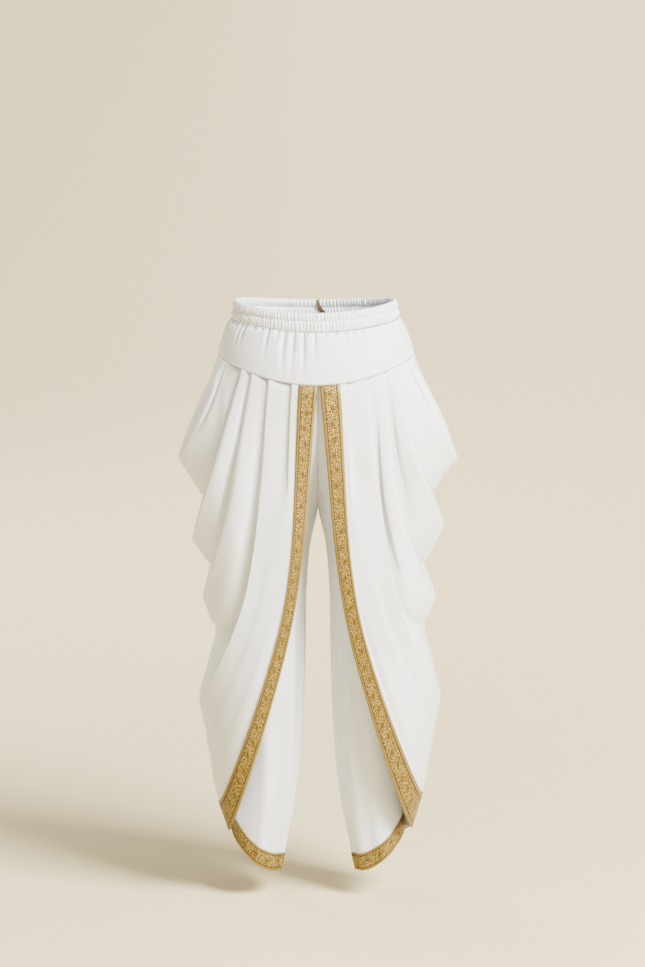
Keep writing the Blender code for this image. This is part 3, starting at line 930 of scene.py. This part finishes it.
# %% Legs and hem borders
def leg_swell(side, z, degrees):
    """How far the leg's folds lift it at a height and an angle."""
    out = 0.0
    for fold in LEG_FOLDS[side]:
        share = (fold.starts - z) / (fold.starts - fold.ends)
        if not -0.05 < share < 1.15:
            continue
        away = (degrees - fold.angle - fold.drift * share) / fold.width
        if abs(away) < 3:
            out += fold.depth * math.exp(-away * away) * smooth(share * 3) * smooth((1.15 - share) * 4)
    slack = math.sin(degrees * 0.055 + z * 31) * math.sin(z * 57 + degrees * 0.021)
    return out + LEG_SLACK * slack * smooth((-0.36 - z) * 8)


def leg_grid(side, rows, lift=0.0):
    """Points of a leg, from its hem up to the yoke."""
    grid = []
    for row in reversed(rows):
        line = []
        for column in range(LEG_COLUMNS + 1):
            share = (2 * column / LEG_COLUMNS - 1) * (1 - SEAM_STEP)
            angle = share * rise_angle(row.z)
            ease = smooth((1 - abs(share)) * 9)
            out = lift + ease * leg_swell(side, row.z, math.degrees(angle))
            point = on_leg(side, row, angle, out)
            met = column in (0, LEG_COLUMNS) and row.z > CROTCH_Z
            line.append((0.0 if met else point.x * SIDES[side], point.y, point.z))
        grid.append(line)
    return np.array(grid)


for side in SIDES:
    white_sheet(f"trouser_leg_{side}", leg_grid(side, FINE_LEG_ROWS), f"leg_{side}")
    points = leg_grid(side, FINE_LEG_ROWS[HEM_FROM * LEG_STEPS:], RIBBON_LIFT).transpose(1, 0, 2)
    points = points[:, ::-1] if side == "left" else points
    gold_ribbon(f"hem_ribbon_{side}", points, f"border_hem_{side}")

# %% [markdown]
# ## Draped panels: the fold lines
#
# Each leg carries an outer panel that is pleated into the yoke in front and
# behind and hangs round the side in cowls. What gives it its look is where
# the folds run, so the panel is built on its fold lines. Every line leaves
# the yoke seam, passes a knee in front, turns round the side at the tip of
# its cowl, and climbs to the seam at the back. The tips stand out, and the
# cloth between two of them falls in, which makes the scalloped outline.

# %% Fold lines
Fold = namedtuple("Fold", "seam_x knee_x knee_y knee_z tip_x tip_z valley_at valley_depth")
Cell = namedtuple("Cell", "start out across fold")
BackLine = namedtuple("BackLine", "knee_x knee_y knee_z end_z")
FOLDS = {
    "left": rows_of(
        Fold,
        (0.153, 0.189, 0.052, -0.170, 0.236, -0.248, 0.55, 0.036),
        (0.128, 0.174, 0.088, -0.244, 0.213, -0.387, 0.55, 0.028),
        (0.111, 0.154, 0.102, -0.326, 0.195, -0.486, 0.30, 0.022),
        (0.082, 0.119, 0.116, -0.454, 0.202, -0.665, 0.50, 0.000),
        (0.043, 0.071, 0.124, -0.470, 0.189, -0.745, 0.50, 0.000),
        (0.030, 0.058, 0.122, -0.492, 0.168, -0.842, 0.50, 0.000),
        (0.002, 0.044, 0.118, -0.512, 0.152, -0.890, 0.50, 0.000),
    ),
    "right": rows_of(
        Fold,
        (0.148, 0.190, 0.052, -0.162, 0.235, -0.249, 0.55, 0.034),
        (0.130, 0.169, 0.088, -0.239, 0.213, -0.364, 0.60, 0.030),
        (0.110, 0.142, 0.102, -0.330, 0.199, -0.485, 0.26, 0.020),
        (0.081, 0.127, 0.116, -0.444, 0.209, -0.661, 0.50, 0.000),
        (0.046, 0.079, 0.124, -0.470, 0.196, -0.733, 0.50, 0.000),
        (0.035, 0.068, 0.122, -0.492, 0.177, -0.827, 0.50, 0.000),
        (0.004, 0.049, 0.118, -0.512, 0.160, -0.886, 0.50, 0.000),
    ),
}
PLEATS = 5
PLEATED_BEHIND = 4
BORDER_EDGE = 5
OPENING_EDGE = 6
BACK_OF_LAST_PLEAT = BackLine(0.075, 0.118, -0.455, -0.074)
BACK_OF_BORDER = BackLine(0.108, 0.068, -0.908, -0.892)
BACK_OF_OPENING = BackLine(0.104, 0.063, -0.941, -0.925)
FANNED_LINES = ((0.14, -0.19), (0.28, -0.26), (0.42, -0.33), (0.56, -0.45), (0.72, -0.62), (0.88, -0.78))
BACK_SEAM_ANGLE = math.radians(138)
CENTRE_BACK_GAP = 0.0040
LEG_CLEARANCE = 0.0006
INSIDE = np.array([0.07, 0.0, -0.5])
print(f"fold lines: {len(FOLDS['left'])} a side from the table, {len(FANNED_LINES)} more fanned between them")

# %% [markdown]
# The first four lines climb to the yoke behind as they do in front. The last
# pleat reaches the centre back. The border and the opening edge end on the
# back of the leg, and the lines between them fan out from one to the other.

# %% Stations of the fold lines


SEAMS = {
    side: YOKE_SEAM._replace(lean=sign * YOKE_SEAM.lean, side_z=YOKE_SEAM.side_z - SEAM_STEP)
    for side, sign in SIDES.items()
}


def seam_turn(side, angle):
    """Point of the yoke seam, x outward; the angle is 0 at the side and negative in front."""
    return Vector(level_point(SEAMS[side], angle))


def seam_angle(side, x):
    """Angle in front of the yoke seam at a distance outward from the centre line."""
    return -math.acos((x - SEAMS[side].lean) / YOKE_SEAM.half_width)


def behind(point):
    """The same place at the back."""
    return Vector((point.x, -point.y, point.z))


def back_end(side, z):
    """Where a lower line of the panel meets the seam at the back of the leg."""
    row = leg_row_at(z)
    angle = min(rise_angle(z) - math.radians(3), BACK_SEAM_ANGLE)
    return on_leg(side, row, angle, row.clear)


def line_stations(side, fold, back):
    """Seam, knee, tip, back knee and back end of one fold line."""
    seam = seam_turn(side, seam_angle(side, fold.seam_x))
    knee = Vector((fold.knee_x, -fold.knee_y, fold.knee_z))
    tip = Vector((fold.tip_x, 0.0, fold.tip_z))
    if back is None:
        return [seam, knee, tip, behind(knee), behind(seam)]
    back_knee = Vector((back.knee_x, back.knee_y, back.knee_z))
    return [seam, knee, tip, back_knee, back_end(side, back.end_z)]


def panel_lines(side):
    """Stations of every line of a panel, from its first pleat to its opening edge."""
    folds = FOLDS[side]
    lines = [line_stations(side, fold, None) for fold in folds[:PLEATED_BEHIND]]
    last_pleat = line_stations(side, folds[PLEATED_BEHIND], BACK_OF_LAST_PLEAT)
    last_pleat[-1] = behind(seam_turn(side, seam_angle(side, CENTRE_BACK_GAP)))
    border = line_stations(side, folds[BORDER_EDGE], BACK_OF_BORDER)
    opening = line_stations(side, folds[OPENING_EDGE], BACK_OF_OPENING)
    lines.append(last_pleat)
    for share, end_z in FANNED_LINES:
        line = [mix(one, other, share) for one, other in zip(last_pleat, border)]
        line[-1] = back_end(side, end_z)
        lines.append(line)
    middle = [mix(one, other, 0.5) for one, other in zip(border, opening)]
    lines += [border, middle, opening]
    return lines


PANEL_LINES = {side: panel_lines(side) for side in SIDES}
print(f"fold lines: {len(PANEL_LINES['left'])} on each panel")

# %% [markdown]
# Between two stations a line is a smooth curve that arrives with a known
# direction. At the tip it runs straight back round the side. At the knee it
# runs from the seam towards the tip, so the fold falls steeply at first and
# sweeps outward later, as hanging cloth does.

# %% Points along a fold line
def knee_way(start, end):
    """Direction of a line as it passes its knee."""
    way = end - start
    way.y *= 0.3
    return way.normalized()


def on_line(stations, reach):
    """Point of a fold line; reach is 0 at the seam, 2 at the tip and 4 at the back end."""
    seam, knee, tip, back_knee, end = stations
    ways = (
        (knee - seam).normalized(),
        knee_way(seam, tip),
        Vector((0.0, 1.0, 0.0)),
        knee_way(tip, end),
        (end - back_knee).normalized(),
    )
    part = min(int(reach), 3)
    start, end = stations[part:part + 2]
    length = (end - start).length
    return hermite(start, ways[part] * length, end, ways[part + 1] * length, reach - part)


def way_along(stations, reach):
    """Direction in which a line runs at a reach."""
    step = 0.02
    before = on_line(stations, max(reach - step, 0.0))
    after = on_line(stations, min(reach + step, 4.0))
    return (after - before).normalized()


print("a line reaches", [round(value, 3) for value in on_line(PANEL_LINES["left"][0], 2)], "at its tip")

# %% [markdown]
# ## Draped panels: pleats that open into cowls
#
# At the yoke each pleat is a knife pleat: a face, a fold that turns under,
# and a return to the next line. Lower down it lets go and becomes a cowl,
# a soft valley between two crests. Seven points are worked out for both
# states, and a share called openness slides from one to the other along the
# line. The outermost panel of cloth never closes, and the last pleat by
# the border opens at once.

# %% Pleat sizes
STACK_AT_SEAM = 0.0026
STACK_AT_KNEE = 0.0070
UNDERLAP_AT_SEAM = 0.0080
UNDERLAP_AT_KNEE = 0.0110
LAST_UNDERLAP = 0.0010
OPENS_FROM = 0.10
OPEN_AT = 0.46
LAST_PLEAT_OPENS_FROM = 0.03
LAST_PLEAT_OPEN_AT = 0.20
SIDE_PLEAT = 0.014
VALLEY_IN_FRONT = 0.80
SEAM_RADIUS = 0.22
ROWS_TO_KNEE = 26
ROWS_TO_TIP = 48
CELL_STEPS = (3, 4, 6, 4, 3, 3, 4)
CELL_COLUMNS = PLEATS * len(CELL_STEPS) + 2
print("each cell is drawn in", sum(CELL_STEPS), "columns")

# %% [markdown]
# The closed pleat is built from the face, the hidden fold and the return,
# stacked under one another. The open one is a valley with a soft bed and
# sharper sides.

# %% Pleat geometry
def cell_points(cell, following, lap, from_seam, openness):
    """Seven points from one fold line to the next: face, hidden fold and return."""
    next_start, next_out, next_across = following.start, following.out, following.across
    start, out, across, fold = cell
    over = next_start - start
    width = over.length
    over.normalize()
    stack = mix(STACK_AT_SEAM, STACK_AT_KNEE, smooth(from_seam))
    closed = (
        start - out * stack / 2,
        start + across * stack / 2,
        start + across * (lap + stack),
        next_start - next_across * stack / 2 - next_out * 2 * stack,
        next_start + next_across * lap - next_out * 2 * stack,
        next_start + next_across * (lap + stack / 2) - next_out * 1.5 * stack,
        next_start + next_across * lap - next_out * stack,
    )
    fall = fold.valley_at
    climb = 1 - fall
    places = (0, 0.10 * fall, 0.5 * fall, 0.82 * fall, fall, fall + 0.35 * climb, fall + 0.88 * climb)
    depths = (0, 0.08, 0.48, 0.86, 1.0, 0.74, 0.14)
    points = []
    for tucked, place, depth in zip(closed, places, depths):
        bow = (1 - smooth(from_seam)) * width ** 2 * place * (1 - place) / (2 * SEAM_RADIUS)
        loose = start + over * width * place - out * (fold.valley_depth * depth - bow)
        points.append(mix(tucked, loose, openness))
    return points


def pleat_openness(number, reach):
    """How far a pleat has opened: 0 where it is stacked, 1 where it hangs as a cowl."""
    from_seam = min(reach, 4 - reach) / 4
    if number == 0:
        return 1.0
    if number < PLEATED_BEHIND:
        return smooth((from_seam - OPENS_FROM) / (OPEN_AT - OPENS_FROM))
    if reach > 2:
        return 1.0
    return smooth((from_seam - LAST_PLEAT_OPENS_FROM) / (LAST_PLEAT_OPEN_AT - LAST_PLEAT_OPENS_FROM))


print("openness down a pleat:", [round(pleat_openness(1, reach / 2), 2) for reach in range(5)])

# %% [markdown]
# A row of the panel takes its cells one after another, from the side of the
# yoke to the last pleat. The cloth from there to the border follows the
# fanned lines. The rows lie closest where the lines turn round the side.

# %% Rows of a panel
def level_with_seam(side, point):
    """Set a point of the panel's top edge at the yoke seam's height."""
    level = SEAMS[side]
    across = (point.x - level.lean) / level.half_width
    along = point.y / level.half_depth
    z = level.side_z - level.dip * (along / math.hypot(across, along)) ** 2
    return Vector((point.x, point.y, min(z, point.z)))


def panel_row(side, reach):
    """Main points of one row of a panel, from the yoke's side to the opening edge."""
    folds = FOLDS[side]
    lines = PANEL_LINES[side]
    from_side = seam_angle(side, folds[0].seam_x) + SIDE_PLEAT / YOKE_SEAM.half_depth
    starts = [seam_turn(side, mix(from_side, -from_side, smooth(reach / 4)))]
    starts += [on_line(line, reach) for line in lines]
    ways = [way_along(line, reach) for line in (lines[0], *lines)]
    rules = [folds[0]._replace(valley_at=0.5, valley_depth=-0.002), *folds]
    from_seam = min(reach, 4 - reach)
    for number in range(1, PLEATED_BEHIND):
        valley_at = mix(VALLEY_IN_FRONT, rules[number].valley_at, smooth(from_seam - 1))
        rules[number] = rules[number]._replace(valley_at=valley_at)
    cells = []
    for number in range(PLEATS + 1):
        over = starts[-1 if number == PLEATS else number + 1] - starts[number]
        way = ways[number] + ways[number + 1]
        out = over.cross(way).normalized()
        cells.append(Cell(starts[number], out, way.cross(out).normalized(), rules[number]))
    underlap = mix(UNDERLAP_AT_SEAM, UNDERLAP_AT_KNEE, smooth(from_seam))
    points = []
    for number in range(PLEATS):
        openness = pleat_openness(number, reach)
        lap = LAST_UNDERLAP if number == PLEATS - 1 else underlap
        points += cell_points(cells[number], cells[number + 1], lap, from_seam, openness)
    points[0] = starts[0]
    last = cells[PLEATS]
    points.append(last.start - last.out * (1 - openness) * STACK_AT_SEAM / 2)
    points.append(last.start + last.across * STACK_AT_SEAM / 4)
    if reach in (0, 4):
        points = [level_with_seam(side, point) for point in points]
    return [tuple(point) for point in points + starts[PLEATS + 1:]]


def panel_reaches():
    """Reaches of the rows, closest together where the lines turn round the side."""
    reaches = [row / ROWS_TO_KNEE for row in range(ROWS_TO_KNEE)]
    reaches += [1 + math.sin(math.pi / 2 * row / ROWS_TO_TIP) for row in range(ROWS_TO_TIP)]
    return reaches + [2.0] + [4 - reach for reach in reversed(reaches)]


REACHES = panel_reaches()
MAIN_COLUMNS = CELL_COLUMNS + len(FANNED_LINES) + 3
COLUMN_STEPS = CELL_STEPS * PLEATS + (3,) + (5,) * (MAIN_COLUMNS - CELL_COLUMNS)
print(f"panel: {len(REACHES)} rows, {sum(COLUMN_STEPS) + 1} columns")

# %% [markdown]
# ## Draped panels: the smaller creases
#
# A cowl is not one clean valley. Lesser ridges and troughs run beside its
# crests, start and end at different places, and drift across it. The table
# lists them for each side: the cell they lie in, their place in it, how
# they drift as they go round, where they start and end along the line, and
# their depth and width. Cell 5 is the broad plain cloth beside the border,
# where slack gathers into a few bumps against the stiff ribbon. The same
# kinds go on round the back.

# %% Creases of the panels
Crease = namedtuple("Crease", "cell place drift starts ends depth width")
CREASES = {
    "left": rows_of(
        Crease,
        (0, 0.60, 0.10, 0.05, 2.20, 0.0030, 0.16),
        (0, 0.35, -0.05, 0.60, 3.60, -0.0022, 0.14),
        (1, 0.28, 0.10, 0.70, 2.90, 0.0040, 0.12),
        (1, 0.72, -0.06, 1.00, 3.40, 0.0030, 0.10),
        (2, 0.30, 0.08, 0.80, 2.60, 0.0034, 0.12),
        (2, 0.66, -0.10, 1.10, 3.30, -0.0028, 0.12),
        (3, 0.24, 0.10, 0.40, 2.70, 0.0040, 0.10),
        (3, 0.55, -0.08, 0.90, 3.50, -0.0040, 0.13),
        (3, 0.80, 0.05, 0.70, 2.30, 0.0030, 0.09),
        (4, 0.45, 0.12, 0.60, 2.90, -0.0016, 0.24),
        (5, 0.35, 0.20, 0.90, 2.40, 0.0016, 0.20),
        (5, 0.78, 0.10, 0.85, 1.80, -0.0014, 0.12),
        (5, 0.30, -0.20, 1.90, 3.60, 0.0050, 0.12),
        (5, 0.55, -0.12, 2.10, 3.80, -0.0052, 0.12),
        (5, 0.75, -0.08, 1.80, 3.70, 0.0040, 0.10),
    ),
    "right": rows_of(
        Crease,
        (0, 0.55, 0.08, 0.05, 2.50, 0.0034, 0.16),
        (0, 0.30, -0.06, 0.70, 3.50, -0.0020, 0.14),
        (1, 0.32, 0.10, 0.60, 3.00, 0.0036, 0.12),
        (1, 0.75, -0.05, 1.10, 3.20, 0.0028, 0.10),
        (2, 0.34, 0.06, 0.90, 2.90, 0.0030, 0.12),
        (2, 0.70, -0.08, 1.00, 3.40, -0.0026, 0.12),
        (3, 0.28, 0.08, 0.50, 2.90, 0.0038, 0.11),
        (3, 0.58, -0.10, 0.80, 3.40, -0.0036, 0.13),
        (4, 0.50, 0.10, 0.70, 2.80, -0.0015, 0.24),
        (5, 0.40, 0.22, 0.95, 2.30, 0.0015, 0.20),
        (5, 0.75, 0.10, 0.90, 1.90, -0.0012, 0.12),
        (5, 0.34, -0.16, 1.90, 3.60, 0.0048, 0.12),
        (5, 0.60, -0.14, 2.00, 3.80, -0.0050, 0.12),
    ),
}
CELL_STARTS = (0, 7, 14, 21, 28, 36)
CELL_ENDS = (7, 14, 21, 28, 35, 43)
SLACK = 0.0006
EASED_COLUMN = 35.6
print("creases:", ", ".join(f"{len(CREASES[side])} on the {side}" for side in SIDES))

# %% [markdown]
# A crease is a bell across its cell that fades in and out along it. The fold
# beside the border runs out where its pleat has opened, by averaging each
# point with its neighbours. Last, any point that comes too near the trouser
# leg is pushed out of it.

# %% Crease geometry
def main_columns():
    """Place of every drawn column among the main columns."""
    places = []
    for gap, count in enumerate(COLUMN_STEPS):
        places += [gap + step / count for step in range(count)]
    return np.array(places + [float(len(COLUMN_STEPS))])


def eased(values):
    """Smooth step of an array."""
    values = np.clip(values, 0.0, 1.0)
    return values * values * (3 - 2 * values)


def crease_swell(side):
    """How far the creases lift or sink each point of a panel."""
    reach = np.array(REACHES)[:, None]
    column = main_columns()[None, :]
    out = np.zeros((reach.shape[0], column.shape[1]))
    for crease in CREASES[side]:
        start, end = CELL_STARTS[crease.cell], CELL_ENDS[crease.cell]
        share = (column - start) / (end - start)
        centre = crease.place + crease.drift * (reach - crease.starts)
        away = (share - centre) / crease.width
        run = (reach - crease.starts) / (crease.ends - crease.starts)
        fade = eased(run * 3.2) * eased((1 - run) * 3.2)
        within = eased((column - start + 0.5) * 1.2) * eased((end - column + 0.5) * 1.2)
        out += crease.depth * np.exp(-away * away) * fade * within
    slack = np.sin(column * 1.9 + reach * 2.1) * np.sin(reach * 5.3 + column * 0.7)
    slack = np.where(column < 28, slack, 0.5 * np.sin(column * 0.7 + reach * 2.1))
    open_cloth = eased((np.minimum(reach, 4 - reach) - 0.25) * 1.6)
    return out + SLACK * slack * open_cloth


def ease_last_pleat(points):
    """Let the fold beside the border run out where its pleat has opened."""
    reach = np.array(REACHES)[:, None, None]
    column = main_columns()[None, :, None]
    opened = eased((np.minimum(reach, 4 - reach) - 0.45) * 2.0)
    share = opened * eased((7.0 - np.abs(column - EASED_COLUMN)) / 3.0)
    for step in (5, 4, 3, 2, 1, 1):
        for _ in range(16):
            level = (points[:, :-2 * step] + points[:, 2 * step:]) / 2
            points[:, step:-step] = mix(points[:, step:-step], level, 0.8 * share[:, step:-step])
    return points


def clear_of_leg(side, point):
    """Push a point out of the trouser leg where it would come too near."""
    height = point[2]
    for _ in range(3):
        row = leg_row_at(height)
        centre, half_width = leg_oval(side, row)
        across = (point[0] - centre) / (half_width + row.clear + LEG_CLEARANCE)
        along = point[1] / (row.depth + row.clear + LEG_CLEARANCE)
        spread = math.hypot(across, along)
        height = point[2] + row.drop * (along / spread) ** 2 - row.slant * across / spread
    if spread >= 1:
        return point
    return (centre + (point[0] - centre) / spread, point[1] / spread, point[2])


def panel_points(side):
    """Every point of a panel, with its creases, clear of the leg."""
    main = np.array([panel_row(side, reach) for reach in REACHES])
    points = ease_last_pleat(line_through(main, COLUMN_STEPS))
    points = points + outward(points, INSIDE) * crease_swell(side)[:, :, None]
    cleared = [[clear_of_leg(side, point) for point in row] for row in points]
    return np.array(cleared) * [SIDES[side], 1, 1]


print(f"panel columns: {len(main_columns())} drawn through {MAIN_COLUMNS} main ones")

# %% [markdown]
# The border is cut from the panel's own points, moved out by half of both
# walls and a small gap. Its two long edges are widened a little, so that it
# laps over the panel's edge and hides it.

# %% Panels and their borders
RIBBON_LAP = 0.0014
for side, sign in SIDES.items():
    points = panel_points(side)[::sign]
    white_sheet(f"draped_panel_{side}", points, f"drape_{side}")
    lifted = points + outward(points, INSIDE * [sign, 1, 1]) * RIBBON_LIFT
    lifted = lifted[:, sum(COLUMN_STEPS[:-2]):]
    for last, inner in ((0, 1), (-1, -2)):
        over = lifted[:, last] - lifted[:, inner]
        lifted[:, last] += RIBBON_LAP * over / np.linalg.norm(over, axis=1, keepdims=True)
    gold_ribbon(f"panel_ribbon_{side}", lifted, f"border_front_{side}")

# %% [markdown]
# ## Cut and hung pieces
#
# Cloth keeps its area when it is gathered and draped. The pleats, the
# gathers and the cowls take up the difference between the cut and the hung
# piece.

# %% Flat sizes, not stated
print(f"flat sizes stated for {5 + 4 * len(SIDES)} pieces")

# %% [markdown]
# ## Size of the fine cloth
#
# The fine cloth has to fill the same box as the solids, apart from the
# little that folds may stand proud. Both boxes are printed side by side.

fine_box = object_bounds()
boxes = {
    name: [[float(value) for value in corner] for corner in box]
    for name, box in (("solid", solid_box), ("fine", fine_box))
}
for name, (low, high) in boxes.items():
    print(name, [round(1000 * (end - start)) for start, end in zip(low, high)], "mm")
